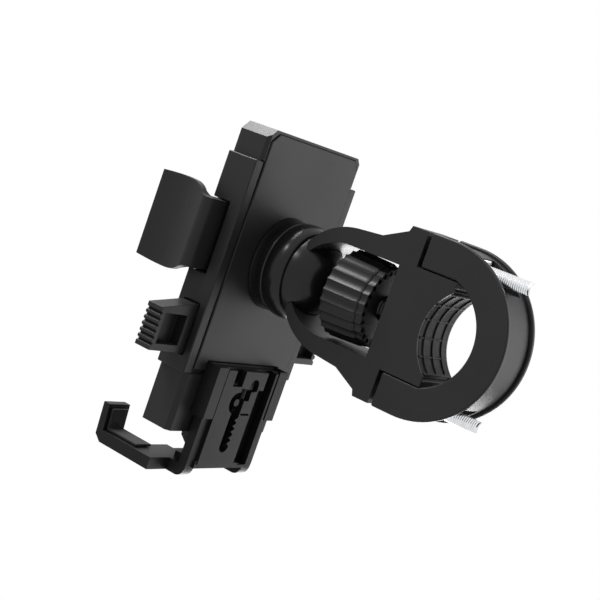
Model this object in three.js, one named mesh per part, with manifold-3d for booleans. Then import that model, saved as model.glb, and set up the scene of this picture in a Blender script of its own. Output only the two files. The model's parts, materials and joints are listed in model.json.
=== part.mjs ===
// Phone mount for a handlebar: a screw clamp, a locking ball joint and a cradle
// with two side arms and a foot.
// Lengths are in millimetres. X runs along the handlebar, Y from the cradle to the clamp, Z up the phone.
// The origin is the centre of the clamp's bar opening.
import * as THREE from "three";
import { mergeVertices } from "three/addons/utils/BufferGeometryUtils.js";
import Module from "manifold-3d";

const wasm = await Module();
wasm.setup();

// ---- Clearances ----
const GAP = 0.3; // between pieces that rest on each other
const RUNNING = 0.4; // each side of a piece that slides or turns
const THREAD_GAP = 0.1;

// ---- Clamp ----
const CLAMP_HALF_THICKNESS = 11.15;
const BAR_OPENING_RADIUS = 20;
const JAW_RADIUS = 31.8;
const JAW_BAND_INSET = 1.3; // the jaw's band lies this far inside its side covers
const JAW_COVER_THICKNESS = 2.2;
const JAW_GROOVE = 0.5;
const JAW_GROOVE_DEPTH = 1.2;
const JAW_END_Y = -8.7;
const JAW_PAD_THICKNESS = 1.1;
const JAW_PAD_RECESS = 0.9;
const JAW_PAD_HALF_WIDTH = 8;
const JAW_PAD_HALF_ANGLE = 62; // degrees
const CLAMP_SCREW_Z = 25;
const CLAMP_SCREW_RADIUS = 2.5;
const CLAMP_SCREW_TIP_Y = 28.3;
const CLAMP_HEAD_RADIUS = 4.2;
const CLAMP_HEAD_LENGTH = 5;
const CLAMP_HEAD_SEAT_Y = -14;
const CLAMP_HEAD_ACCESS_Y = -22;
const CLAMP_NUT_RADIUS = 4.6; // across the corners, halved
const CLAMP_NUT_LENGTH = 4;
const NUT_SEAT_Y = 5;
const NUT_POCKET_HALF_WIDTH = 5.6;
const CLAMP_NUT_FLAT = CLAMP_NUT_RADIUS * Math.cos(Math.PI / 6);

// ---- Fork that joins the clamp to the ball ----
const SHOULDER_Y = -10.1;
const SHOULDER_HALF_HEIGHT = 31.5;
const SHOULDER_LENGTH = 6.7;
const TONGUE_HALF_HEIGHT = 18.8;
const TONGUE_TIP_Y = 6.5;
const SADDLE_RADIUS = 19.3;
const SADDLE_CENTRE_Y = 18.7;
const SADDLE_PAD_THICKNESS = 1.5;
const SADDLE_PAD_HALF_WIDTH = 10;
const SADDLE_RIB_HEIGHT = 0.5;
const FORK_TIP_Y = -55.6;
const FORK_TIP_HALF_HEIGHT = 12.9;
const FORK_BEND_Y = -43.2;
const FORK_BEND_HALF_HEIGHT = 22.6;
const FORK_ARM_Y = -36;
const FORK_ARM_HALF_HEIGHT = 23.9;
const FORK_ARM_END_Y = -27;
const FORK_TIP_CURVE = [-51.8, 19.4]; // where the edge's two curves bend to, in Y and Z
const FORK_BEND_CURVE = [-39.5, 23.7];
const WINDOW_FRONT_Y = -16.8;
const WINDOW_HALF_HEIGHT = 17.2;
const WINDOW_BEND_Y = -40.5;
const WINDOW_NECK_HALF_HEIGHT = 9.8;
const WINDOW_NECK_Y = -54;

// ---- Ball joint ----
const BALL_CENTRE_Y = -60.8;
const BALL_RADIUS = 16.2;
const BALL_STEM_RADIUS = 4.5;
const BALL_STEM_END_Y = -12;
const STEM_SCREW_HEAD_RADIUS = 3.5;
const STEM_SCREW_RADIUS = 1.5;
const STEM_SCREW_LENGTH = 15;
const WHEEL_RADIUS = 16.6;
const WHEEL_BACK_Y = -39.7;
const WHEEL_FLUTE_END_Y = -25;
const WHEEL_FRONT_Y = -22.2;
const WHEEL_RIM_RADIUS = 15.8;
const WHEEL_FLUTES = 26;
const WHEEL_FLUTE_RADIUS = 0.75;
const SOCKET_LIP_Y = -57.6;
const SOCKET_LIP_RADIUS = 17;
const SOCKET_RADIUS = 18.5;
const SOCKET_SPLIT_Y = -65.8;
const SOCKET_FLOOR_Y = -79.6;
const SOCKET_FLANGE_RADIUS = 17.9;
const LINER_THICKNESS = 0.8;
const LINER_GAP = 0.25;
const SOCKET_SCREW_CIRCLE = 24;
const SOCKET_LUG_RADIUS = 3.2;

// ---- Cradle ----
const CORE_HALF_WIDTH = 31.1;
const CORE_TOP_Z = 46.9;
const CORE_BOTTOM_Z = -68.9;
const CORE_CORNER = 3.4;
const CAP_CHAMFER = 1.3;
const HEEL_CHAMFER = 2.2;
const CASING_HALF_WIDTH = 33.85;
const CASING_TOP_Z = 34.7;
const CASING_BOTTOM_Z = -46.2;
const CRADLE_FRONT_Y = -85.9;
const CRADLE_BACK_Y = -72.5;
const COVER_BACK_Y = -72;
const COVER_SEAT_Y = -73.4;
const COVER_HALF_WIDTH = 29.1;
const COVER_TOP_Z = 45.7;
const COVER_BOTTOM_Z = -44.4;
const FRONT_PLATE_THICKNESS = 2.5;
const WALL = 2;
const PHONE_PAD_THICKNESS = 1.2;
const PHONE_PAD_MARGIN = 5;

// ---- Side arms ----
const ARM_SLOT_TOP_Z = 17.2;
const ARM_SLOT_BOTTOM_Z = -9.8;
const ARM_SLOT_BACK_Y = -77.8;
const ARM_NECK_TOP_Z = 16.8;
const ARM_NECK_BOTTOM_Z = -8.9;
const ARM_WING_TOP_Z = 20.9;
const ARM_WING_BOTTOM_Z = -12.6;
const ARM_NECK_BACK_Y = -79.3;
const ARM_OUTER_X = 43.4;
const ARM_TIP_Y = -103.4;
const ARM_THICKNESS = 2.6;
const ARM_PAD_THICKNESS = 1.8;
const RACK_BAR_BACK_Y = -80.6;
const RACK_BAR_THICKNESS = 2.3;
const RACK_BAR_HEIGHT = 6.4;
const RACK_BAR_END_X = -16;
const MECHANISM_Z = 3.7; // height of the pinion's axis
const PINION_TEETH = 12;
const RACK_TEETH = 12;
const RACK_PITCH = 2.6;
const TOOTH_HEIGHT = 1.6;
const PINION_PIN_RADIUS = 1.2;
const BACKLASH = 0.25;
const SPRING_WIRE = 0.45;

// ---- Release buttons ----
const BUTTON_OUTER_X = 52.6;
const BUTTON_INNER_X = 27;
const BUTTON_TOP_Z = -21.3;
const BUTTON_TOP_DROP = 2.6;
const BUTTON_SLOPE_X = 36;
const BUTTON_BOTTOM_Z = -39.9;
const BUTTON_BACK_Y = -76;
const BUTTON_FRONT_Y = -83;
const BUTTON_WALL = 2.6;
const BUTTON_RIDGES = 7;
const BUTTON_RIDGE_DEPTH = 1.1;
const BUTTON_TRAVEL = 4;
const BUTTON_SPRING_RADIUS = 2;
const BUTTON_SPRING_TURNS = 4;
const BUTTON_SPRING_LAP = 2;
const BUTTON_STOP_X = 19;

// ---- Foot ----
const GUIDE_TOP_Z = -41;
const GUIDE_BOTTOM_Z = -61.1;
const GUIDE_HALF_WIDTH = 22.2;
const GUIDE_WALL = 1.3;
const GUIDE_LIP_INNER = 16.6;
const GUIDE_FLOOR = 0.8;
const GUIDE_BACK_Y = -66;
const GUIDE_LIP = 1.2;
const GUIDE_BASE_Y = -72.7;
const FOOT_BACK_Y = -66.2;
const FOOT_WEB_THICKNESS = 2.4;
const FOOT_WEB_HALF_WIDTH = 15.9;
const FOOT_FLOOR_THICKNESS = 1.2;
const FOOT_TOP_Z = -41.8;
const FOOT_CHEEK_INNER = 15.2;
const FOOT_CHEEK_ROUNDING = 6;
const FOOT_BOTTOM_Z = -85.4;
const FOOT_PLATE_TOP_Z = -80.7;
const FOOT_PLATE_BACK_Y = -76;
const FOOT_PLATE_FRONT_Y = -88.2;
const FOOT_HALF_WIDTH = 31.6;
const FOOT_BAR_WIDTH = 11.6;
const FOOT_STEP_X = 8.4;
const FOOT_STEP_DEPTH = 3.5;
const HOOK_FACE_Y = -101.4;
const HOOK_THICKNESS = 3;
const HOOK_TOP_Z = -70.4;
const FOOT_PAD_THICKNESS = 1;
const FOOT_SLOT_RIGHT = 6;
const FOOT_SLOT_LEFT = 0.6;
const FOOT_SLOT_TOP_Z = -51.5;
const FOOT_SLOT_BOTTOM_Z = -74.6;
const FOOT_BAR_LEFT = -6.4;
const FOOT_KEYHOLE_RADIUS = 4.3;
const FOOT_KEYHOLE_X = 4.8;
const FOOT_CHANNEL_LEFT = -14.6;
const FOOT_TEETH = 5;
const FOOT_TOOTH_PITCH = 2.4;
const LATCH_PIN_RADIUS = 1.5;
const LATCH_PIN_X = 4.2;
const LATCH_PIN_Z = -54.5;
const SMALL_SCREW_RADIUS = 1.1;
const SMALL_HEAD_RADIUS = 2;
const SMALL_HEAD_LENGTH = 1.2;

// ---- Finishes ----
function finish(color, roughness, metalness = 0) {
  return new THREE.MeshStandardMaterial({ color, roughness, metalness });
}
const BLACK_PLASTIC = () => finish(0x1c1c1e, 0.5);
const GLOSS_PLASTIC = () => finish(0x121214, 0.2);
const INNER_PLASTIC = () => finish(0x26262a, 0.6);
const RUBBER = () => finish(0x151515, 0.9);
const STEEL = () => finish(0xc9ccd0, 0.25, 1);

// ---- Shapes ----
function solid(geometry) {
  const bare = new THREE.BufferGeometry();
  bare.setAttribute("position", geometry.getAttribute("position"));
  if (geometry.index) bare.setIndex(geometry.index);
  const merged = mergeVertices(bare, 1e-4);
  const vertProperties = merged.attributes.position.array;
  const triVerts = new Uint32Array(merged.index.array);
  return new wasm.Manifold(new wasm.Mesh({ numProp: 3, vertProperties, triVerts }));
}

function part(name, body, material) {
  const mesh = new THREE.Mesh(surface(body), material());
  mesh.name = name;
  return mesh;
}

function surface(body, place = (x, y, z) => [x, y, z], mirror = false) {
  const { vertProperties, triVerts, numProp } = body.getMesh();
  const count = vertProperties.length / numProp;
  const positions = new Float32Array(count * 3);
  for (let i = 0; i < count; i++) {
    const [x, y, z] = vertProperties.subarray(i * numProp, i * numProp + 3);
    positions.set(place(x, y, z), i * 3);
  }
  const triangles = new Uint32Array(triVerts);
  if (mirror) triangles.reverse();
  const geometry = new THREE.BufferGeometry();
  geometry.setAttribute("position", new THREE.BufferAttribute(positions, 3));
  geometry.setIndex(new THREE.BufferAttribute(triangles, 1));
  geometry.computeVertexNormals();
  return geometry;
}

// The same body on the other side of the middle plane.
function across(body) {
  return solid(surface(body, (x, y, z) => [-x, y, z], true));
}

function join(...bodies) {
  return bodies.reduce((whole, body) => whole.add(body));
}

function cut(body, ...tools) {
  return tools.reduce((rest, tool) => rest.subtract(tool), body);
}

function block([x0, x1], [y0, y1], [z0, z1]) {
  const geometry = new THREE.BoxGeometry(x1 - x0, y1 - y0, z1 - z0);
  geometry.translate((x0 + x1) / 2, (y0 + y1) / 2, (z0 + z1) / 2);
  return solid(geometry);
}

function rodY(radius, [y0, y1], x = 0, z = 0, sides = 28) {
  const geometry = new THREE.CylinderGeometry(radius, radius, y1 - y0, sides);
  geometry.translate(x, (y0 + y1) / 2, z);
  return solid(geometry);
}

function rodX(radius, [x0, x1], y, z, sides = 28) {
  const geometry = new THREE.CylinderGeometry(radius, radius, x1 - x0, sides);
  geometry.rotateZ(Math.PI / 2);
  geometry.translate((x0 + x1) / 2, y, z);
  return solid(geometry);
}

function ball(radius, y, columns = 36, rows = 24) {
  const geometry = new THREE.SphereGeometry(radius, columns, rows);
  geometry.translate(0, y, 0);
  return solid(geometry);
}

// A profile of [radius, y] points turned about the Y axis.
function turned(profile, sides = 40) {
  const points = profile.map(([radius, y]) => new THREE.Vector2(radius, y));
  return solid(new THREE.LatheGeometry(points, sides));
}

// A shape drawn in (y, z) and given thickness along X.
function slabX(shape, [x0, x1], curveSegments = 24) {
  const geometry = new THREE.ExtrudeGeometry(shape, { depth: x1 - x0, bevelEnabled: false, curveSegments });
  const axes = [new THREE.Vector3(0, 1, 0), new THREE.Vector3(0, 0, 1), new THREE.Vector3(1, 0, 0)];
  geometry.applyMatrix4(new THREE.Matrix4().makeBasis(...axes));
  geometry.translate(x0, 0, 0);
  return solid(geometry);
}

// A shape drawn in (x, z) and given thickness along Y.
function slabY(shape, [y0, y1], curveSegments = 12) {
  const geometry = new THREE.ExtrudeGeometry(shape, { depth: y1 - y0, bevelEnabled: false, curveSegments });
  const axes = [new THREE.Vector3(1, 0, 0), new THREE.Vector3(0, 0, 1), new THREE.Vector3(0, -1, 0)];
  geometry.applyMatrix4(new THREE.Matrix4().makeBasis(...axes));
  geometry.translate(0, y1, 0);
  return solid(geometry);
}

// A shape drawn in (x, y) and given thickness along Z.
function slabZ(shape, [z0, z1], curveSegments = 12) {
  const geometry = new THREE.ExtrudeGeometry(shape, { depth: z1 - z0, bevelEnabled: false, curveSegments });
  geometry.translate(0, 0, z0);
  return solid(geometry);
}

function outline(...points) {
  return new THREE.Shape(points.map(([a, b]) => new THREE.Vector2(a, b)));
}

function mirrored(...points) {
  return [...points, ...points.map(([a, b]) => [a, -b]).reverse()];
}

// A spring wound along X, as a wire of six sides.
function spring(radius, turns, [x0, x1], y, z) {
  const points = [];
  const steps = turns * 10;
  for (let i = 0; i <= steps; i++) {
    const angle = (2 * Math.PI * i) / 10;
    const x = x0 + ((x1 - x0) * i) / steps;
    points.push(new THREE.Vector3(x, y + radius * Math.cos(angle), z + radius * Math.sin(angle)));
  }
  const wire = new THREE.Shape();
  for (let i = 0; i < 5; i++) {
    const angle = (2 * Math.PI * i) / 5;
    const point = [(SPRING_WIRE / 2) * Math.cos(angle), (SPRING_WIRE / 2) * Math.sin(angle)];
    if (i === 0) wire.moveTo(...point);
    else wire.lineTo(...point);
  }
  const path = new THREE.CatmullRomCurve3(points);
  return solid(new THREE.ExtrudeGeometry(wire, { steps, extrudePath: path, bevelEnabled: false }));
}

// A range between two values in either order.
function span(a, b) {
  return [Math.min(a, b), Math.max(a, b)];
}

function radians(degrees) {
  return (degrees * Math.PI) / 180;
}

// ---- Clamp jaw ----
// The jaw's side view: a half ring with straight arms, round the bar opening.
function jawOutline(radius) {
  const inner = TONGUE_HALF_HEIGHT + RUNNING;
  const turn = Math.asin(inner / BAR_OPENING_RADIUS);
  const shape = new THREE.Shape();
  shape.moveTo(JAW_END_Y, radius);
  shape.lineTo(JAW_END_Y, inner);
  shape.lineTo(BAR_OPENING_RADIUS * Math.cos(turn), inner);
  shape.absarc(0, 0, BAR_OPENING_RADIUS, turn, -turn, true);
  shape.lineTo(JAW_END_Y, -inner);
  shape.lineTo(JAW_END_Y, -radius);
  shape.lineTo(0, -radius);
  shape.absarc(0, 0, radius, -Math.PI / 2, Math.PI / 2, false);
  return shape;
}

const CLAMP_SIDES = [1, -1];
const JAW_COVER_INNER_X = CLAMP_HALF_THICKNESS - JAW_COVER_THICKNESS;

function screwCuts(radius, span) {
  return CLAMP_SIDES.map((side) => rodY(radius, span, 0, side * CLAMP_SCREW_Z, 20));
}

function jaw() {
  const half = JAW_COVER_INNER_X - JAW_GROOVE;
  const band = slabX(jawOutline(JAW_RADIUS - JAW_BAND_INSET), [-half, half], 28);
  const spine = slabX(jawOutline(JAW_RADIUS - JAW_BAND_INSET - JAW_GROOVE_DEPTH), [
    -JAW_COVER_INNER_X + GAP,
    JAW_COVER_INNER_X - GAP,
  ]);
  const shanks = screwCuts(CLAMP_SCREW_RADIUS + RUNNING, [JAW_END_Y - 1, JAW_RADIUS]);
  const pockets = CLAMP_SIDES.map((side) => {
    const near = side * (CLAMP_SCREW_Z - CLAMP_NUT_FLAT - GAP);
    const heights = span(near, side * (CLAMP_SCREW_Z + CLAMP_NUT_FLAT + GAP));
    return block([-NUT_POCKET_HALF_WIDTH, NUT_POCKET_HALF_WIDTH], [NUT_SEAT_Y, JAW_RADIUS + 1], heights);
  });
  const padSeat = padStrip(BAR_OPENING_RADIUS - 1, BAR_OPENING_RADIUS + JAW_PAD_RECESS, GAP);
  return cut(join(band, spine), ...shanks, ...pockets, padSeat);
}

function jawCover() {
  return slabX(jawOutline(JAW_RADIUS), [JAW_COVER_INNER_X, CLAMP_HALF_THICKNESS], 28);
}

// A strip of the jaw's lining, centred on the far side of the bar.
function padStrip(inner, outer, spare = 0) {
  const turn = radians(JAW_PAD_HALF_ANGLE) + spare / inner;
  const half = JAW_PAD_HALF_WIDTH + spare;
  const shape = new THREE.Shape();
  shape.absarc(0, 0, outer, -turn, turn, false);
  shape.absarc(0, 0, inner, turn, -turn, true);
  return slabX(shape, [-half, half]);
}

function jawPad() {
  const outer = BAR_OPENING_RADIUS + JAW_PAD_RECESS - GAP;
  return padStrip(outer - JAW_PAD_THICKNESS, outer);
}

function clampNut(z) {
  const length = [NUT_SEAT_Y + GAP, NUT_SEAT_Y + GAP + CLAMP_NUT_LENGTH];
  const thread = rodY(CLAMP_SCREW_RADIUS + THREAD_GAP, [0, JAW_RADIUS], 0, z);
  const hexagon = [0, 1, 2, 3, 4, 5].map((i) => {
    const angle = (i * Math.PI) / 3;
    return [CLAMP_NUT_RADIUS * Math.cos(angle), z + CLAMP_NUT_RADIUS * Math.sin(angle)];
  });
  return cut(slabY(outline(...hexagon), length), thread);
}

function clampScrew(z) {
  const head = [CLAMP_HEAD_SEAT_Y - GAP - CLAMP_HEAD_LENGTH, CLAMP_HEAD_SEAT_Y - GAP];
  const shank = rodY(CLAMP_SCREW_RADIUS, [head[1] - 1, CLAMP_SCREW_TIP_Y], 0, z);
  const socket = rodY(CLAMP_SCREW_RADIUS * 0.92, [head[0] - 1, head[0] + CLAMP_HEAD_LENGTH * 0.6], 0, z, 6);
  return cut(join(rodY(CLAMP_HEAD_RADIUS, head, 0, z), shank), socket);
}

// ---- Fork and saddle ----
function saddle(radius) {
  const reach = CLAMP_HALF_THICKNESS + 1;
  return rodX(radius, [-reach, reach], SADDLE_CENTRE_Y, 0, 72);
}

function yoke() {
  const width = [-CLAMP_HALF_THICKNESS, CLAMP_HALF_THICKNESS];
  const wide = [-CLAMP_HALF_THICKNESS - 1, CLAMP_HALF_THICKNESS + 1];
  const padSeat = rodX(
    SADDLE_RADIUS + SADDLE_PAD_THICKNESS,
    [-SADDLE_PAD_HALF_WIDTH - GAP, SADDLE_PAD_HALF_WIDTH + GAP],
    SADDLE_CENTRE_Y,
    0,
    72,
  );
  return cut(
    slabX(forkOutline(), width, 8),
    slabX(windowOutline(), wide, 8),
    saddle(SADDLE_RADIUS),
    padSeat,
    ball(BALL_RADIUS + GAP, BALL_CENTRE_Y),
    rodY(BALL_STEM_RADIUS + GAP, [WINDOW_FRONT_Y - 5, BALL_STEM_END_Y + GAP]),
    rodY(STEM_SCREW_RADIUS + GAP, [BALL_STEM_END_Y - 2, 10], 0, 0, 16),
    rodY(STEM_SCREW_HEAD_RADIUS + GAP, [STEM_SCREW_SEAT_Y, 10], 0, 0, 20),
    ...screwCuts(CLAMP_SCREW_RADIUS + RUNNING, [CLAMP_HEAD_SEAT_Y - 1, 0]),
    ...screwCuts(CLAMP_HEAD_RADIUS + RUNNING, [CLAMP_HEAD_ACCESS_Y, CLAMP_HEAD_SEAT_Y]),
  );
}

// The fork's side view: curved tines that widen to the clamp block, its shoulders and its tongue.
function forkOutline() {
  const neck = SHOULDER_Y - SHOULDER_LENGTH;
  const [tipY, tipZ] = FORK_TIP_CURVE;
  const [bendY, bendZ] = FORK_BEND_CURVE;
  const shape = new THREE.Shape();
  shape.moveTo(FORK_TIP_Y, -FORK_TIP_HALF_HEIGHT);
  shape.lineTo(FORK_TIP_Y, FORK_TIP_HALF_HEIGHT);
  shape.quadraticCurveTo(tipY, tipZ, FORK_BEND_Y, FORK_BEND_HALF_HEIGHT);
  shape.quadraticCurveTo(bendY, bendZ, FORK_ARM_Y, FORK_ARM_HALF_HEIGHT);
  const block = mirrored(
    [FORK_ARM_END_Y, FORK_ARM_HALF_HEIGHT + 0.8],
    [neck - 0.8, SHOULDER_HALF_HEIGHT - 2.2],
    [neck, SHOULDER_HALF_HEIGHT],
    [SHOULDER_Y, SHOULDER_HALF_HEIGHT],
    [SHOULDER_Y, TONGUE_HALF_HEIGHT],
    [TONGUE_TIP_Y, TONGUE_HALF_HEIGHT],
  );
  block.forEach(([y, z]) => shape.lineTo(y, z));
  shape.lineTo(FORK_ARM_Y, -FORK_ARM_HALF_HEIGHT);
  shape.quadraticCurveTo(bendY, -bendZ, FORK_BEND_Y, -FORK_BEND_HALF_HEIGHT);
  shape.quadraticCurveTo(tipY, -tipZ, FORK_TIP_Y, -FORK_TIP_HALF_HEIGHT);
  return shape;
}

// The opening between the tines, round the lock wheel.
function windowOutline() {
  const curve = [WINDOW_NECK_Y + 4.6, WINDOW_HALF_HEIGHT - 1.6];
  const shape = new THREE.Shape();
  shape.moveTo(-100, -WINDOW_NECK_HALF_HEIGHT);
  shape.lineTo(WINDOW_NECK_Y, -WINDOW_NECK_HALF_HEIGHT);
  shape.quadraticCurveTo(curve[0], -curve[1], WINDOW_BEND_Y, -WINDOW_HALF_HEIGHT);
  shape.lineTo(WINDOW_FRONT_Y, -WINDOW_HALF_HEIGHT);
  shape.lineTo(WINDOW_FRONT_Y, WINDOW_HALF_HEIGHT);
  shape.lineTo(WINDOW_BEND_Y, WINDOW_HALF_HEIGHT);
  shape.quadraticCurveTo(curve[0], curve[1], WINDOW_NECK_Y, WINDOW_NECK_HALF_HEIGHT);
  shape.lineTo(-100, WINDOW_NECK_HALF_HEIGHT);
  return shape;
}

const SADDLE_FLOOR_Y = SADDLE_CENTRE_Y - SADDLE_RADIUS - SADDLE_PAD_THICKNESS;
const STEM_SCREW_HEAD_LENGTH = 2;
const STEM_SCREW_SEAT_Y = SADDLE_FLOOR_Y - STEM_SCREW_HEAD_LENGTH - 2 * GAP;

function stemScrew() {
  const headEnd = STEM_SCREW_SEAT_Y + GAP + STEM_SCREW_HEAD_LENGTH;
  const head = rodY(STEM_SCREW_HEAD_RADIUS, [STEM_SCREW_SEAT_Y + GAP, headEnd], 0, 0, 20);
  const shank = rodY(STEM_SCREW_RADIUS, [STEM_SCREW_SEAT_Y - STEM_SCREW_LENGTH, headEnd - 1], 0, 0, 16);
  return cut(join(head, shank), rodY(STEM_SCREW_RADIUS, [headEnd - 1.2, headEnd + 1], 0, 0, 6));
}

function saddlePad() {
  const reach = SADDLE_RADIUS + SADDLE_PAD_THICKNESS - GAP;
  const half = SADDLE_PAD_HALF_WIDTH;
  const full = cut(
    rodX(reach, [-half, half], SADDLE_CENTRE_Y, 0, 72),
    rodX(SADDLE_RADIUS, [-half - 1, half + 1], SADDLE_CENTRE_Y, 0, 72),
    block([-half - 1, half + 1], [TONGUE_TIP_Y - 1, SADDLE_CENTRE_Y + reach + 1], [-50, 50]),
  );
  const ribs = [-0.66, 0, 0.66].map((share) =>
    cut(
      rodX(SADDLE_RADIUS + 0.2, [share * half - 0.5, share * half + 0.5], SADDLE_CENTRE_Y, 0, 72),
      rodX(SADDLE_RADIUS - SADDLE_RIB_HEIGHT, [-half, half], SADDLE_CENTRE_Y, 0, 72),
      block([-half - 1, half + 1], [TONGUE_TIP_Y - 1, SADDLE_CENTRE_Y + reach + 1], [-50, 50]),
    ),
  );
  const bars = [-48, -29, -10, 10, 29, 48].map((degrees) => {
    const angle = radians(degrees);
    const y = SADDLE_CENTRE_Y - (SADDLE_RADIUS + 0.1) * Math.cos(angle);
    return rodX(SADDLE_RIB_HEIGHT, [-half, half], y, (SADDLE_RADIUS + 0.1) * Math.sin(angle), 8);
  });
  return join(full, ...ribs, ...bars);
}

// ---- Ball, wheel and socket ----
function swivelBall() {
  const stem = rodY(BALL_STEM_RADIUS, [BALL_CENTRE_Y, BALL_STEM_END_Y], 0, 0, 32);
  const screwHole = rodY(STEM_SCREW_RADIUS + GAP, [STEM_SCREW_SEAT_Y - STEM_SCREW_LENGTH - 1, 0], 0, 0, 16);
  return cut(join(ball(BALL_RADIUS, BALL_CENTRE_Y, 36, 22), stem), screwHole);
}

function thumbWheel() {
  const body = turned([
    [0, WHEEL_BACK_Y],
    [WHEEL_RADIUS - 1, WHEEL_BACK_Y],
    [WHEEL_RADIUS, WHEEL_BACK_Y + 1],
    [WHEEL_RIM_RADIUS + 0.2, WHEEL_FLUTE_END_Y],
    [WHEEL_RIM_RADIUS, WHEEL_FLUTE_END_Y + 0.3],
    [WHEEL_RIM_RADIUS, WHEEL_FRONT_Y],
    [0, WHEEL_FRONT_Y],
  ], 60);
  const flutes = [];
  for (let i = 0; i < WHEEL_FLUTES; i++) {
    const angle = (2 * Math.PI * i) / WHEEL_FLUTES;
    const x = WHEEL_RADIUS * Math.cos(angle);
    const z = WHEEL_RADIUS * Math.sin(angle);
    flutes.push(rodY(WHEEL_FLUTE_RADIUS, [WHEEL_BACK_Y - 1, WHEEL_FLUTE_END_Y - 0.5], x, z, 6));
  }
  return cut(body, ...flutes, rodY(BALL_STEM_RADIUS + RUNNING, [-60, 0], 0, 0, 32));
}

const LINER_INNER = BALL_RADIUS + LINER_GAP;
const LINER_OUTER = LINER_INNER + LINER_THICKNESS;
const SOCKET_INNER = LINER_OUTER + LINER_GAP;

// Points on a sphere round the ball's centre, from one angle off the cradle's side to another.
function arcAboutBall(radius, from, to, steps) {
  const points = [];
  for (let i = 0; i <= steps; i++) {
    const angle = radians(from + ((to - from) * i) / steps);
    points.push([radius * Math.sin(angle), BALL_CENTRE_Y - radius * Math.cos(angle)]);
  }
  points[0][0] = from === 0 ? 0 : points[0][0];
  return points;
}

function frictionPad() {
  return turned([...arcAboutBall(LINER_OUTER, 0, 24, 4), ...arcAboutBall(LINER_INNER, 24, 0, 4)], 24);
}

function socketLiner() {
  const ring = [...arcAboutBall(LINER_OUTER, 36, 70, 6), ...arcAboutBall(LINER_INNER, 70, 36, 6)];
  return turned([...ring, ring[0]], 40);
}

function socketCollar() {
  const outer = turned([
    [0, SOCKET_SPLIT_Y + GAP],
    [SOCKET_RADIUS - 0.6, SOCKET_SPLIT_Y + GAP],
    [SOCKET_RADIUS, SOCKET_SPLIT_Y + 1.4],
    [SOCKET_RADIUS, SOCKET_LIP_Y - 3.2],
    [SOCKET_RADIUS - 0.4, SOCKET_LIP_Y - 1.6],
    [SOCKET_LIP_RADIUS, SOCKET_LIP_Y],
    [0, SOCKET_LIP_Y],
  ]);
  const bore = turned([
    [0, SOCKET_SPLIT_Y - 1],
    [SOCKET_INNER, SOCKET_SPLIT_Y - 1],
    [SOCKET_INNER, BALL_CENTRE_Y - 3],
    ...arcAboutBall(BALL_RADIUS + LINER_GAP, 90, 104, 4),
    [0, SOCKET_LIP_Y + 1.2],
  ]);
  return cut(outer, bore);
}

function socketBase() {
  const outer = turned([
    [0, SOCKET_FLOOR_Y],
    [SOCKET_FLANGE_RADIUS - 0.6, SOCKET_FLOOR_Y],
    [SOCKET_FLANGE_RADIUS - 0.6, COVER_BACK_Y + GAP],
    [SOCKET_FLANGE_RADIUS + 0.3, COVER_BACK_Y + GAP],
    [SOCKET_FLANGE_RADIUS, COVER_BACK_Y + 1.2],
    [SOCKET_FLANGE_RADIUS - 0.2, COVER_BACK_Y + 2.6],
    [SOCKET_FLANGE_RADIUS - 0.2, COVER_BACK_Y + 4],
    [SOCKET_FLANGE_RADIUS, SOCKET_SPLIT_Y - 0.6],
    [SOCKET_FLANGE_RADIUS - 0.3, SOCKET_SPLIT_Y],
    [0, SOCKET_SPLIT_Y],
  ]);
  const lugSpan = [LUG_BACK_Y - LUG_THICKNESS, LUG_BACK_Y];
  const lugs = lugPlaces().map(([x, z]) => rodY(SOCKET_LUG_RADIUS, lugSpan, x, z, 20));
  const arms = lugPlaces().map(([x, z]) => {
    const reach = [Math.min(x, Math.sign(x) * 12), Math.max(x, Math.sign(x) * 12)];
    const level = [Math.min(z, Math.sign(z) * 8), Math.max(z, Math.sign(z) * 8)];
    return block(reach, [LUG_BACK_Y - LUG_THICKNESS, LUG_BACK_Y], level);
  });
  const screwHoles = lugPlaces().map(([x, z]) => rodY(SMALL_SCREW_RADIUS + GAP, [-90, -60], x, z, 16));
  return cut(join(outer, ...lugs, ...arms), ball(SOCKET_INNER, BALL_CENTRE_Y, 36, 24), ...screwHoles);
}

const HOUSING_BACK_INNER_Y = COVER_SEAT_Y - GAP - WALL;
const LUG_BACK_Y = HOUSING_BACK_INNER_Y - GAP;
const LUG_THICKNESS = 2;
const SCREW_SKIN = 0.6; // left at the end of a blind screw hole

// Four lugs inside the cradle hold the socket's base.
function lugPlaces() {
  const reach = SOCKET_SCREW_CIRCLE / Math.SQRT2;
  return [
    [reach, reach],
    [-reach, reach],
    [-reach, -reach],
    [reach, -reach],
  ];
}

function socketScrew([x, z]) {
  const seat = LUG_BACK_Y - LUG_THICKNESS - GAP;
  const head = rodY(SMALL_HEAD_RADIUS, [seat - SMALL_HEAD_LENGTH, seat], x, z, 16);
  return join(head, rodY(SMALL_SCREW_RADIUS, [seat - 0.5, HOUSING_BACK_Y - SCREW_SKIN - GAP], x, z, 12));
}

// ---- Cradle shells ----
function coreOutline(halfWidth, bottom, top, corner) {
  return outline(
    [-halfWidth, bottom],
    [halfWidth, bottom],
    [halfWidth, top - corner],
    [halfWidth - corner, top],
    [-halfWidth + corner, top],
    [-halfWidth, top - corner],
  );
}

const FRONT_PLATE_BACK_Y = CRADLE_FRONT_Y + FRONT_PLATE_THICKNESS;
const HOUSING_FRONT_Y = FRONT_PLATE_BACK_Y + GAP; // where the ribs inside the housing start
const HOUSING_BACK_Y = COVER_SEAT_Y - GAP;

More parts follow.
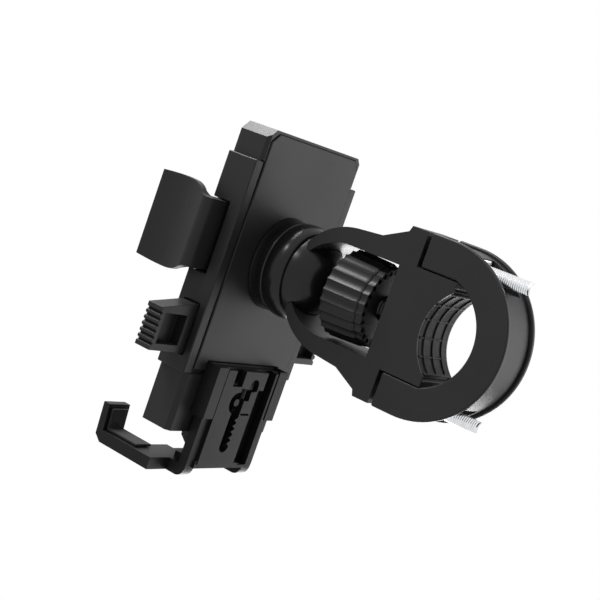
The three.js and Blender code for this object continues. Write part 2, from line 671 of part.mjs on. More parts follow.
function frontPlate() {
  const depth = [CRADLE_FRONT_Y, FRONT_PLATE_BACK_Y];
  const inset = WALL + GAP;
  const plate = slabY(
    coreOutline(CORE_HALF_WIDTH - inset, CORE_BOTTOM_Z + inset, CORE_TOP_Z - inset, CORE_CORNER),
    depth,
  );
  const headSeat = CRADLE_FRONT_Y + GAP + SMALL_HEAD_LENGTH + GAP;
  return cut(
    plate,
    ...casingScrewPlaces().map(([x, z]) => rodY(SMALL_SCREW_RADIUS + GAP, [-90, -60], x, z, 16)),
    ...casingScrewPlaces().map(([x, z]) => rodY(SMALL_HEAD_RADIUS + GAP, [-90, headSeat], x, z, 16)),
  );
}

// The slots that the side arms leave by, from a given depth in the cradle to outside it.
function armSlots(innerX, frontY) {
  const heights = [ARM_SLOT_BOTTOM_Z, ARM_SLOT_TOP_Z];
  return CLAMP_SIDES.map((side) => {
    const reach = span(side * innerX, side * (CASING_HALF_WIDTH + 10));
    return block(reach, [frontY, ARM_SLOT_BACK_Y], heights);
  });
}

function buttonWindows(spare) {
  const depth = [BUTTON_FRONT_Y - spare, BUTTON_BACK_Y + spare];
  const heights = [BUTTON_BOTTOM_Z - spare, BUTTON_TOP_Z + spare];
  return CLAMP_SIDES.map((side) => {
    const reach = span(side * (BUTTON_INNER_X - 2), side * (CASING_HALF_WIDTH + 10));
    return block(reach, depth, heights);
  });
}

function casingScrewPlaces() {
  const x = CORE_HALF_WIDTH - 6;
  return [
    [x, CORE_TOP_Z - 8],
    [-x, CORE_TOP_Z - 8],
    [x, CORE_BOTTOM_Z + 6],
    [-x, CORE_BOTTOM_Z + 6],
  ];
}

function rearHousing() {
  const whole = [CRADLE_FRONT_Y, HOUSING_BACK_Y];
  const box = slabY(coreOutline(CORE_HALF_WIDTH, CORE_BOTTOM_Z, CORE_TOP_Z, CORE_CORNER), whole);
  const hollow = slabY(
    coreOutline(CORE_HALF_WIDTH - WALL, CORE_BOTTOM_Z + WALL, CORE_TOP_Z - WALL, CORE_CORNER),
    [CRADLE_FRONT_Y - 1, HOUSING_BACK_Y - WALL],
  );
  const rim = cut(
    slabY(coreOutline(CORE_HALF_WIDTH, CASING_TOP_Z + GAP, CORE_TOP_Z, CORE_CORNER), [
      HOUSING_BACK_Y - 0.5,
      CRADLE_BACK_Y,
    ]),
    slabY(coreOutline(COVER_HALF_WIDTH + GAP, CASING_TOP_Z - 5, COVER_TOP_Z + GAP, CORE_CORNER), [
      HOUSING_BACK_Y,
      CRADLE_BACK_Y + 1,
    ]),
  );
  const heel = block(
    [-CORE_HALF_WIDTH, CORE_HALF_WIDTH],
    [HOUSING_BACK_Y - 0.5, CRADLE_BACK_Y - 0.5],
    [CORE_BOTTOM_Z, CASING_BOTTOM_Z - GAP],
  );
  const holeRadius = SMALL_SCREW_RADIUS + GAP;
  const bossSpan = [HOUSING_FRONT_Y, HOUSING_BACK_Y - 1];
  const holeSpan = [-90, HOUSING_BACK_Y - 2];
  const socketHoleSpan = [-90, HOUSING_BACK_Y - SCREW_SKIN];
  const bosses = casingScrewPlaces().map(([x, z]) => rodY(2.6, bossSpan, x, z, 20));
  const screwHoles = casingScrewPlaces().map(([x, z]) => rodY(holeRadius, holeSpan, x, z, 16));
  const ribs = [...rackGuide(), ...buttonStops()];
  return cut(
    join(cut(box, hollow), rim, heel, ...bosses, ...ribs),
    ...armSlots(CORE_HALF_WIDTH - 4, HOUSING_FRONT_Y - 1),
    ...buttonWindows(RUNNING),
    ...screwHoles,
    ...backChamfers(),
    rodY(SOCKET_FLANGE_RADIUS - 0.6 + GAP, [-79, -60], 0, 0, 48),
    ...lugPlaces().map(([x, z]) => rodY(holeRadius, socketHoleSpan, x, z, 16)),
    ...guideScrewPlaces().map(([x, z]) => rodY(SMALL_SCREW_RADIUS + GAP, [-90, -60], x, z, 16)),
  );
}

// Bevels down the back corners of the cap and of the block below the casings.
function backChamfers() {
  const heights = [
    [CASING_TOP_Z, CORE_TOP_Z + 1, CAP_CHAMFER],
    [CORE_BOTTOM_Z - 1, CASING_BOTTOM_Z, HEEL_CHAMFER],
  ];
  return CLAMP_SIDES.flatMap((side) =>
    heights.map(([low, high, size]) => {
      const edge = side * (CORE_HALF_WIDTH + 0.5);
      const corner = outline(
        [edge, CRADLE_BACK_Y + 0.5],
        [edge, CRADLE_BACK_Y - size - 0.5],
        [edge - side * (size + 1), CRADLE_BACK_Y + 0.5],
      );
      return slabZ(corner, [low, high]);
    }),
  );
}

// Two rails inside the housing between which the arms' rack bars run.
function rackGuide() {
  const clear = PINION_RADIUS + TOOTH_HEIGHT / 2 + BACKLASH + RACK_BAR_HEIGHT + RUNNING;
  const depth = [HOUSING_FRONT_Y, HOUSING_BACK_Y - 1];
  const rails = CLAMP_SIDES.flatMap((level) =>
    CLAMP_SIDES.map((end) => {
      const heights = span(MECHANISM_Z + level * clear, MECHANISM_Z + level * (clear + 1.8));
      return block(span(end * 22, end * 28), depth, heights);
    }),
  );
  return rails;
}

// Walls that the button springs push against.
function buttonStops() {
  const mid = (BUTTON_TOP_Z + BUTTON_BOTTOM_Z) / 2;
  return CLAMP_SIDES.map((side) => {
    const reach = span(side * (BUTTON_STOP_X - 2), side * BUTTON_STOP_X);
    return block(reach, [HOUSING_FRONT_Y, HOUSING_BACK_Y - 1], [mid - 5, mid + 5]);
  });
}

function sideCasing() {
  const outer = block(
    [COVER_HALF_WIDTH + GAP, CASING_HALF_WIDTH],
    [CRADLE_FRONT_Y, CRADLE_BACK_Y],
    [CASING_BOTTOM_Z, CASING_TOP_Z],
  );
  const core = block(
    [0, CORE_HALF_WIDTH + GAP],
    [CRADLE_FRONT_Y - 1, COVER_SEAT_Y],
    [CASING_BOTTOM_Z - 1, CASING_TOP_Z + 1],
  );
  return cut(
    outer,
    core,
    ...armSlots(CORE_HALF_WIDTH - 4, CRADLE_FRONT_Y - 1),
    ...buttonWindows(RUNNING),
  );
}

function backCover() {
  const plate = slabY(coreOutline(COVER_HALF_WIDTH, COVER_BOTTOM_Z, COVER_TOP_Z, CORE_CORNER), [
    COVER_SEAT_Y,
    COVER_BACK_Y,
  ]);
  return cut(
    plate,
    rodY(SOCKET_FLANGE_RADIUS - 0.6 + GAP, [-80, -60], 0, 0, 48),
    block(
      [-GUIDE_HALF_WIDTH - GAP, GUIDE_HALF_WIDTH + GAP],
      [COVER_SEAT_Y - 1, COVER_BACK_Y + 1],
      [COVER_BOTTOM_Z - 1, GUIDE_TOP_Z + GAP],
    ),
  );
}

function phonePad() {
  const half = CORE_HALF_WIDTH - PHONE_PAD_MARGIN;
  const front = CRADLE_FRONT_Y - GAP;
  return slabY(
    coreOutline(half, CORE_BOTTOM_Z + PHONE_PAD_MARGIN, CORE_TOP_Z - PHONE_PAD_MARGIN, CORE_CORNER),
    [front - PHONE_PAD_THICKNESS, front],
  );
}

function casingScrew([x, z]) {
  const front = CRADLE_FRONT_Y + GAP;
  const head = rodY(SMALL_HEAD_RADIUS, [front, front + SMALL_HEAD_LENGTH], x, z, 16);
  return join(head, rodY(SMALL_SCREW_RADIUS, [front + 0.5, HOUSING_BACK_Y - 2 - GAP], x, z, 12));
}

// ---- Side arms with their racks and pinion ----
const PINION_RADIUS = (PINION_TEETH * RACK_PITCH) / (2 * Math.PI);

function rackBar() {
  const root = MECHANISM_Z + PINION_RADIUS + TOOTH_HEIGHT / 2 + BACKLASH;
  const depth = [RACK_BAR_BACK_Y - RACK_BAR_THICKNESS, RACK_BAR_BACK_Y];
  const bar = block([RACK_BAR_END_X, CASING_HALF_WIDTH + 1], depth, [root, root + RACK_BAR_HEIGHT]);
  const teeth = [];
  for (let i = 0; i < RACK_TEETH; i++) {
    const x = (i + 0.5 - RACK_TEETH / 2) * RACK_PITCH;
    const tooth = outline(
      [x - RACK_PITCH * 0.4, root + 0.1],
      [x - RACK_PITCH * 0.14, root - TOOTH_HEIGHT],
      [x + RACK_PITCH * 0.14, root - TOOTH_HEIGHT],
      [x + RACK_PITCH * 0.4, root + 0.1],
    );
    teeth.push(slabY(tooth, depth));
  }
  return join(bar, ...teeth);
}

function pinion() {
  const root = PINION_RADIUS - TOOTH_HEIGHT / 2 - BACKLASH;
  const tip = PINION_RADIUS + TOOTH_HEIGHT / 2 - BACKLASH;
  const step = Math.PI / PINION_TEETH;
  const points = [];
  for (let i = 0; i < PINION_TEETH; i++) {
    const corners = [
      [root, -0.95],
      [root, -0.6],
      [tip, -0.24],
      [tip, 0.24],
      [root, 0.6],
    ];
    for (const [radius, share] of corners) {
      const angle = 2 * i * step + share * step + Math.PI / 2;
      points.push([radius * Math.cos(angle), MECHANISM_Z + radius * Math.sin(angle)]);
    }
  }
  const gear = slabY(outline(...points), [RACK_BAR_BACK_Y - RACK_BAR_THICKNESS, RACK_BAR_BACK_Y]);
  return cut(gear, rodY(PINION_PIN_RADIUS + GAP, [-90, -60], 0, MECHANISM_Z, 16));
}

function pinionPin() {
  return rodY(PINION_PIN_RADIUS, [FRONT_PLATE_BACK_Y + GAP, SOCKET_FLOOR_Y - GAP], 0, MECHANISM_Z, 16);
}

// The wing's section: out of the slot, round a shoulder and forward in a shallow S to a flared tip.
function wingSection() {
  const t = ARM_THICKNESS;
  const shape = new THREE.Shape();
  shape.moveTo(CASING_HALF_WIDTH - 3, ARM_NECK_BACK_Y);
  shape.lineTo(ARM_OUTER_X - 3, ARM_NECK_BACK_Y);
  shape.quadraticCurveTo(ARM_OUTER_X, ARM_NECK_BACK_Y, ARM_OUTER_X, ARM_NECK_BACK_Y - 3.4);
  shape.bezierCurveTo(
    ARM_OUTER_X - 2.4,
    ARM_NECK_BACK_Y - 11,
    ARM_OUTER_X - 2.4,
    ARM_TIP_Y + 9,
    ARM_OUTER_X + 0.3,
    ARM_TIP_Y,
  );
  shape.lineTo(ARM_OUTER_X + 0.3 - t * 0.85, ARM_TIP_Y - 0.4);
  shape.bezierCurveTo(
    ARM_OUTER_X - 2.4 - t,
    ARM_TIP_Y + 9,
    ARM_OUTER_X - 2.4 - t,
    ARM_NECK_BACK_Y - 11,
    ARM_OUTER_X - t - 1,
    ARM_NECK_BACK_Y - 5.2,
  );
  shape.lineTo(ARM_OUTER_X - t - 2.2, RACK_BAR_BACK_Y - RACK_BAR_THICKNESS);
  shape.lineTo(CASING_HALF_WIDTH - 3, RACK_BAR_BACK_Y - RACK_BAR_THICKNESS);
  return shape;
}

function wingSide() {
  const back = ARM_NECK_BACK_Y;
  const top = ARM_WING_TOP_Z;
  const bottom = ARM_WING_BOTTOM_Z;
  const shape = new THREE.Shape();
  shape.moveTo(back + 2, ARM_NECK_BOTTOM_Z);
  shape.lineTo(back + 2, ARM_NECK_TOP_Z);
  shape.lineTo(back - 2, ARM_NECK_TOP_Z);
  shape.bezierCurveTo(back - 5, ARM_NECK_TOP_Z, back - 5, top - 1.2, back - 10, top - 0.3);
  shape.quadraticCurveTo(back - 16, top + 0.4, ARM_TIP_Y - 1, top - 0.7);
  shape.lineTo(ARM_TIP_Y - 1, bottom + 1);
  shape.quadraticCurveTo(back - 16, bottom - 0.4, back - 10, bottom + 0.1);
  shape.bezierCurveTo(back - 5, bottom + 0.6, back - 4, ARM_NECK_BOTTOM_Z, back - 1, ARM_NECK_BOTTOM_Z);
  return shape;
}

function wing() {
  const body = slabZ(wingSection(), [ARM_WING_BOTTOM_Z - 1, ARM_WING_TOP_Z + 1], 10);
  return body.intersect(slabX(wingSide(), [CASING_HALF_WIDTH - 4, ARM_OUTER_X + 6], 10));
}

function armRight() {
  return join(wing(), rackBar());
}

// The left arm's bar runs on the other side of the pinion.
function armLeft() {
  const below = solid(surface(rackBar(), (x, y, z) => [-x, y, 2 * MECHANISM_Z - z]));
  return join(across(wing()), below);
}

function armPad() {
  const from = ARM_NECK_BACK_Y - 8;
  const to = ARM_TIP_Y + 2.5;
  const ends = ARM_OUTER_X - 1.7 - ARM_THICKNESS - GAP;
  const middle = ARM_OUTER_X - 3.1 - ARM_THICKNESS - GAP;
  const shape = new THREE.Shape();
  shape.moveTo(ends - ARM_PAD_THICKNESS, from);
  shape.lineTo(ends, from);
  shape.quadraticCurveTo(middle, (from + to) / 2, ends, to);
  shape.lineTo(ends - ARM_PAD_THICKNESS, to);
  shape.quadraticCurveTo(middle - ARM_PAD_THICKNESS, (from + to) / 2, ends - ARM_PAD_THICKNESS, from);
  return slabZ(shape, [ARM_WING_BOTTOM_Z + 2.4, ARM_WING_TOP_Z - 2.4], 10);
}



// ---- Release buttons ----
function button() {
  const middle = (BUTTON_TOP_Z + BUTTON_BOTTOM_Z) / 2;
  const side = outline(
    [BUTTON_INNER_X, BUTTON_BOTTOM_Z],
    [BUTTON_OUTER_X, BUTTON_BOTTOM_Z],
    [BUTTON_OUTER_X, BUTTON_TOP_Z - BUTTON_TOP_DROP],
    [BUTTON_SLOPE_X, BUTTON_TOP_Z],
    [BUTTON_INNER_X, BUTTON_TOP_Z],
  );
  const hollow = block(
    [CASING_HALF_WIDTH + BUTTON_TRAVEL, BUTTON_OUTER_X - BUTTON_WALL],
    [BUTTON_FRONT_Y + BUTTON_WALL, BUTTON_BACK_Y + 1],
    [BUTTON_BOTTOM_Z + BUTTON_WALL, BUTTON_TOP_Z - BUTTON_TOP_DROP - BUTTON_WALL + 0.6],
  );
  const pitch = (BUTTON_TOP_Z - BUTTON_TOP_DROP - BUTTON_BOTTOM_Z) / BUTTON_RIDGES;
  const grooves = [];
  for (let i = 1; i < BUTTON_RIDGES; i++) {
    const z = BUTTON_BOTTOM_Z + i * pitch;
    const notch = outline(
      [BUTTON_OUTER_X - BUTTON_RIDGE_DEPTH, z],
      [BUTTON_OUTER_X + 0.2, z - pitch * 0.36],
      [BUTTON_OUTER_X + 0.2, z + pitch * 0.36],
    );
    grooves.push(slabY(notch, [BUTTON_FRONT_Y - 1, BUTTON_BACK_Y + 1]));
  }
  const springHole = rodX(
    BUTTON_SPRING_RADIUS + 0.8,
    [BUTTON_INNER_X - 1, BUTTON_INNER_X + BUTTON_SPRING_LAP + BUTTON_TRAVEL + 0.5],
    (BUTTON_FRONT_Y + BUTTON_BACK_Y) / 2,
    middle,
    20,
  );
  return cut(slabY(side, [BUTTON_FRONT_Y, BUTTON_BACK_Y]), hollow, ...grooves, springHole);
}

function buttonSpring() {
  const middle = (BUTTON_TOP_Z + BUTTON_BOTTOM_Z) / 2;
  const depth = (BUTTON_FRONT_Y + BUTTON_BACK_Y) / 2;
  const inset = SPRING_WIRE / 2 + GAP;
  const reach = [BUTTON_STOP_X + inset, BUTTON_INNER_X + BUTTON_SPRING_LAP - inset];
  return spring(BUTTON_SPRING_RADIUS, BUTTON_SPRING_TURNS, reach, depth, middle);
}

// ---- Foot ----
const FOOT_CHEEK_OUTER = GUIDE_HALF_WIDTH - GUIDE_WALL - RUNNING;
const FOOT_CHEEK_BACK_Y = GUIDE_BACK_Y - GUIDE_LIP - RUNNING;
const FOOT_CHEEK_FRONT_Y = GUIDE_BASE_Y + GUIDE_FLOOR + RUNNING;

function guideScrewPlaces() {
  const z = (GUIDE_TOP_Z + GUIDE_BOTTOM_Z) / 2 - 3;
  return [
    [8, z],
    [-8, z],
  ];
}

function footGuide() {
  const heights = [GUIDE_BOTTOM_Z, GUIDE_TOP_Z];
  const shell = block([-GUIDE_HALF_WIDTH, GUIDE_HALF_WIDTH], [GUIDE_BASE_Y, GUIDE_BACK_Y], heights);
  const inner = GUIDE_HALF_WIDTH - GUIDE_WALL;
  const run = [GUIDE_BASE_Y + GUIDE_FLOOR, GUIDE_BACK_Y - GUIDE_LIP];
  const past = [heights[0] - 1, heights[1] + 1];
  return cut(
    shell,
    block([-inner, inner], run, past),
    block([-GUIDE_LIP_INNER, GUIDE_LIP_INNER], [run[0], GUIDE_BACK_Y + 1], past),
    ...guideScrewPlaces().map(([x, z]) => rodY(SMALL_SCREW_RADIUS + GAP, [-90, -60], x, z, 16)),
    rodY(LATCH_PIN_RADIUS + GAP, [-90, -60], LATCH_PIN_X, LATCH_PIN_Z, 16),
  );
}

function latchPin() {
  return rodY(LATCH_PIN_RADIUS, [GUIDE_BASE_Y + 0.2, FOOT_BACK_Y - 0.5], LATCH_PIN_X, LATCH_PIN_Z, 24);
}

function footBracket() {
  const web = block(
    [-FOOT_WEB_HALF_WIDTH, FOOT_WEB_HALF_WIDTH],
    [FOOT_BACK_Y - FOOT_WEB_THICKNESS, FOOT_BACK_Y],
    [FOOT_PLATE_TOP_Z + 1, FOOT_TOP_Z],
  );
  const floor = block(
    [-FOOT_WEB_HALF_WIDTH - 1, FOOT_WEB_HALF_WIDTH + 1],
    [FOOT_CHEEK_FRONT_Y, FOOT_CHEEK_FRONT_Y + FOOT_FLOOR_THICKNESS],
    [FOOT_PLATE_TOP_Z + 1, FOOT_TOP_Z],
  );
  const cheekSide = new THREE.Shape();
  cheekSide.moveTo(FOOT_CHEEK_FRONT_Y, FOOT_TOP_Z);
  cheekSide.lineTo(FOOT_CHEEK_FRONT_Y, FOOT_PLATE_TOP_Z);
  cheekSide.lineTo(FOOT_PLATE_BACK_Y - 1, FOOT_PLATE_TOP_Z);
  cheekSide.lineTo(FOOT_PLATE_BACK_Y - 1, FOOT_BOTTOM_Z);
  cheekSide.lineTo(FOOT_CHEEK_BACK_Y - FOOT_CHEEK_ROUNDING * 0.7, FOOT_BOTTOM_Z);
  cheekSide.quadraticCurveTo(
    FOOT_CHEEK_BACK_Y,
    FOOT_BOTTOM_Z,
    FOOT_CHEEK_BACK_Y,
    FOOT_BOTTOM_Z + FOOT_CHEEK_ROUNDING,
  );
  cheekSide.lineTo(FOOT_CHEEK_BACK_Y, FOOT_TOP_Z);
  const cheeks = CLAMP_SIDES.map((side) => {
    return slabX(cheekSide, span(side * FOOT_CHEEK_INNER, side * FOOT_CHEEK_OUTER));
  });
  const webHeel = block(
    [-FOOT_WEB_HALF_WIDTH - 1, FOOT_WEB_HALF_WIDTH + 1],
    [FOOT_PLATE_BACK_Y - 1, FOOT_BACK_Y - 0.4],
    [FOOT_PLATE_TOP_Z - 0.5, FOOT_PLATE_TOP_Z + 2.5],
  );
  const ledge = footLedge();
  const hooks = CLAMP_SIDES.map((side) => {
    const width = span(side * (FOOT_HALF_WIDTH - FOOT_BAR_WIDTH), side * FOOT_HALF_WIDTH);
    const end = HOOK_FACE_Y - HOOK_THICKNESS;
    const profile = outline(
      [FOOT_PLATE_FRONT_Y + 1, FOOT_BOTTOM_Z],
      [FOOT_PLATE_FRONT_Y + 1, FOOT_PLATE_TOP_Z],
      [HOOK_FACE_Y, FOOT_PLATE_TOP_Z],
      [HOOK_FACE_Y - 0.8, HOOK_TOP_Z],
      [end - 0.8, HOOK_TOP_Z],
      [end, FOOT_BOTTOM_Z + 2.4],
      [end + 3, FOOT_BOTTOM_Z],
    );
    return slabX(profile, width);
  });
  return join(cut(join(web, floor, ...cheeks, webHeel, ledge, ...hooks), ...footCuts()), footTeeth());
}

// The cross plate under the cradle, with a shallower middle.
function footLedge() {
  const half = FOOT_HALF_WIDTH;
  const front = FOOT_PLATE_FRONT_Y;
  const shape = outline(
    [-half, front],
    [-FOOT_STEP_X, front],
    [-FOOT_STEP_X, front + FOOT_STEP_DEPTH],
    [FOOT_STEP_X, front + FOOT_STEP_DEPTH],
    [FOOT_STEP_X, front],
    [half, front],
    [half, FOOT_PLATE_BACK_Y],
    [-half, FOOT_PLATE_BACK_Y],
  );
  return slabZ(shape, [FOOT_BOTTOM_Z, FOOT_PLATE_TOP_Z]);
}

// Slots in the web that leave a springy tooth bar beside a fixed strip.
function footCuts() {
  const through = [FOOT_CHEEK_FRONT_Y - 1, FOOT_BACK_Y + 1];
  const shallow = [FOOT_CHEEK_FRONT_Y + FOOT_FLOOR_THICKNESS, FOOT_BACK_Y + 1];
  const slotMiddle = (FOOT_SLOT_RIGHT + FOOT_SLOT_LEFT) / 2;
  const slotRound = (FOOT_SLOT_RIGHT - FOOT_SLOT_LEFT) / 2;
  const slotEnd = FOOT_SLOT_BOTTOM_Z + slotRound;
  return [
    block([5, 10.8], shallow, [-48, FOOT_TOP_Z + 1]),
    block([FOOT_CHANNEL_LEFT, -9.4], shallow, [-80, FOOT_TOP_Z + 1]),
    block([FOOT_CHANNEL_LEFT, FOOT_BAR_LEFT], shallow, [-79, -49]),
    block([FOOT_SLOT_LEFT, FOOT_SLOT_RIGHT], through, [slotEnd, FOOT_SLOT_TOP_Z]),
    rodY(slotRound, through, slotMiddle, slotEnd, 20),
    rodY(FOOT_KEYHOLE_RADIUS, shallow, FOOT_KEYHOLE_X, LATCH_PIN_Z, 24),
    block([-2.2, 4.4], shallow, [-53.5, -48.6]),
    rodY(2.6, shallow, -2.9, -47.3, 20),
    block([-5.5, -0.3], shallow, [-49.6, -47.3]),
    block([-5.4, 0], shallow, [-59.4, -58.6]),
  ];
}

function footTeeth() {
  const teeth = [];
  for (let i = 0; i < FOOT_TEETH; i++) {
    const z = FOOT_SLOT_BOTTOM_Z + 2.6 + i * FOOT_TOOTH_PITCH;
    const tooth = outline(
      [FOOT_SLOT_LEFT - 0.1, z],
      [FOOT_SLOT_LEFT + 1.7, z + FOOT_TOOTH_PITCH * 0.45],
      [FOOT_SLOT_LEFT - 0.1, z + FOOT_TOOTH_PITCH * 0.9],
    );
    teeth.push(slabY(tooth, [FOOT_BACK_Y - FOOT_WEB_THICKNESS, FOOT_BACK_Y]));
  }
  return join(...teeth);
}

function footPad() {
  const x = [FOOT_HALF_WIDTH - FOOT_BAR_WIDTH + 1.5, FOOT_HALF_WIDTH - 1.5];
  const back = FOOT_PLATE_FRONT_Y + 3;
  const top = FOOT_PLATE_TOP_Z + GAP;
  const t = FOOT_PAD_THICKNESS;
  const front = HOOK_FACE_Y + GAP;
  const profile = outline(
    [back, top],
    [front, top],
    [front - 0.65, HOOK_TOP_Z - 1.5],
    [front - 0.65 + t, HOOK_TOP_Z - 1.5],
    [front + t, top + t],
    [back, top + t],
  );
  return slabX(profile, x);
}

function guideScrew([x, z]) {
  const seat = HOUSING_BACK_INNER_Y - GAP;
  const head = rodY(SMALL_HEAD_RADIUS, [seat - SMALL_HEAD_LENGTH, seat], x, z, 16);
  return join(head, rodY(SMALL_SCREW_RADIUS, [seat - 0.5, GUIDE_BASE_Y + GUIDE_FLOOR], x, z, 12));
}

// ---- Assembly ----
const mount = new THREE.Group();
function add(name, body, material) {
  mount.add(part(name, body, material));
}

function addPair(name, body, material) {
  add(`${name}_right`, body, material);
  add(`${name}_left`, across(body), material);
}

function addScrews(name, places, shape) {
  places.forEach((place, i) => add(`${name}_${i + 1}`, shape(place), STEEL));
}

add("yoke", yoke(), BLACK_PLASTIC);
add("saddle_pad", saddlePad(), RUBBER);
add("swivel_ball", swivelBall(), GLOSS_PLASTIC);
add("stem_screw", stemScrew(), STEEL);
add("thumb_wheel", thumbWheel(), BLACK_PLASTIC);
add("clamp_screw_upper", clampScrew(CLAMP_SCREW_Z), STEEL);
add("clamp_screw_lower", clampScrew(-CLAMP_SCREW_Z), STEEL);
add("jaw", jaw(), BLACK_PLASTIC);
addPair("jaw_cover", jawCover(), BLACK_PLASTIC);
add("jaw_pad", jawPad(), RUBBER);
add("clamp_nut_upper", clampNut(CLAMP_SCREW_Z), STEEL);
add("clamp_nut_lower", clampNut(-CLAMP_SCREW_Z), STEEL);
add("friction_pad", frictionPad(), RUBBER);
add("socket_liner", socketLiner(), INNER_PLASTIC);
add("socket_collar", socketCollar(), GLOSS_PLASTIC);
add("socket_base", socketBase(), GLOSS_PLASTIC);
addScrews("socket_screw", lugPlaces(), socketScrew);
add("front_plate", frontPlate(), BLACK_PLASTIC);
add("rear_housing", rearHousing(), BLACK_PLASTIC);
addPair("side_casing", sideCasing(), BLACK_PLASTIC);
add("back_cover", backCover(), BLACK_PLASTIC);
add("phone_pad", phonePad(), RUBBER);
addScrews("casing_screw", casingScrewPlaces(), casingScrew);
add("arm_right", armRight(), BLACK_PLASTIC);
add("arm_left", armLeft(), BLACK_PLASTIC);
addPair("arm_pad", armPad(), RUBBER);
add("pinion_gear", pinion(), INNER_PLASTIC);
add("pinion_pin", pinionPin(), STEEL);
addPair("release_button", button(), BLACK_PLASTIC);
addPair("button_spring", buttonSpring(), STEEL);
add("foot_guide", footGuide(), BLACK_PLASTIC);
add("foot_latch_pin", latchPin(), BLACK_PLASTIC);
addScrews("guide_screw", guideScrewPlaces(), guideScrew);
add("foot_bracket", footBracket(), BLACK_PLASTIC);
addPair("foot_pad", footPad(), RUBBER);

export default mount;
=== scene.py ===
import json
import math

import bpy
from mathutils import Matrix, Vector


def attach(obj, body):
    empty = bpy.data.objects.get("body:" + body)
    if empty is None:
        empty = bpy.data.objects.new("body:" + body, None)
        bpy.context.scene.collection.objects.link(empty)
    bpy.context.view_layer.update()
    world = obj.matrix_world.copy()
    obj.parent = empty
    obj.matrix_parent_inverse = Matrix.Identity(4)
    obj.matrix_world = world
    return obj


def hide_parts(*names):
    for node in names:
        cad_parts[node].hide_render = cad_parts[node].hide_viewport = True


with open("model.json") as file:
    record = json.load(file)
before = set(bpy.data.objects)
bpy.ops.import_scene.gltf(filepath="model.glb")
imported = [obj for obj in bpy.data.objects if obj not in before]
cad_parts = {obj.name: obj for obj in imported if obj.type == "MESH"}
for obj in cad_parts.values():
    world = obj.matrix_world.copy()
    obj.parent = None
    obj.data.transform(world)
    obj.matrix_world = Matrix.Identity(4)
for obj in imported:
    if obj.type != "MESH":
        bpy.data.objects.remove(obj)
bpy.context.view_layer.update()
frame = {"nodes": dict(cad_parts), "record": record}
MM = 0.001

# Sizes of the mount, in millimetres from the centre of the bar opening.
SADDLE_CENTRE_Y = 18.7
# The rib top radius and the fade width after it also set where the painted highlight on the saddle rib
# crests begins.
RIB_TOP = 17.3
RIB_HIGHLIGHT_FADE = 0.45
CLAMP_SCREW_Z = 25.0
BALL_Y = -60.8
BALL_R = 16.2
STEM_R = 4.5
SOCKET_BORE_R = 16.45
WHEEL_BORE_R = 4.85


# ---- Camera, floor and light ----
def set_camera():
    data = bpy.data.cameras.new("camera")
    data.sensor_width = 36
    data.lens = 77.34
    data.clip_start, data.clip_end = 0.01, 20
    camera = bpy.data.objects.new("camera", data)
    camera.matrix_world = Matrix((
        (-0.55135, 0.09372, 0.82899, 0.39763),
        (0.76554, -0.33812, 0.54738, 0.20458),
        (0.33160, 0.93643, 0.11467, 0.04549),
        (0, 0, 0, 1),
    ))
    bpy.context.scene.collection.objects.link(camera)
    bpy.context.scene.camera = camera


def soft_lamp(name, place, aim, size, watts):
    data = bpy.data.lights.new(name, "AREA")
    data.shape = "SQUARE"
    data.size = size
    data.energy = watts
    lamp = bpy.data.objects.new(name, data)
    lamp.location = place
    lamp.rotation_euler = (Vector(aim) - Vector(place)).to_track_quat("-Z", "Y").to_euler()
    bpy.context.scene.collection.objects.link(lamp)


# ---- Finishes ----
class Value:
    """A number that changes over a surface, written as an ordinary expression."""

    def __init__(self, finish, socket):
        self.finish, self.socket = finish, socket

    def maths(self, operation, first, second):
        return self.finish.node("Math", {"operation": operation}, {0: first, 1: second}).value(0)

    def __add__(self, other):
        return self.maths("ADD", self, other)

    def __truediv__(self, other):
        return self.maths("DIVIDE", self, other)

    def __rtruediv__(self, other):
        return self.maths("DIVIDE", other, self)

    def __rpow__(self, other):
        return self.maths("POWER", other, self)

    def __neg__(self):
        return self.maths("MULTIPLY", self, -1.0)

    def __sub__(self, other):
        return self.maths("SUBTRACT", self, other)

    def __rsub__(self, other):
        return self.maths("SUBTRACT", other, self)

    def __mul__(self, other):
        return self.maths("MULTIPLY", self, other)

    def __pow__(self, other):
        return self.maths("POWER", self, other)

    __radd__, __rmul__ = __add__, __mul__


class Node:
    def __init__(self, finish, node):
        self.finish, self.node = finish, node

    def value(self, output):
        return Value(self.finish, self.node.outputs[output])


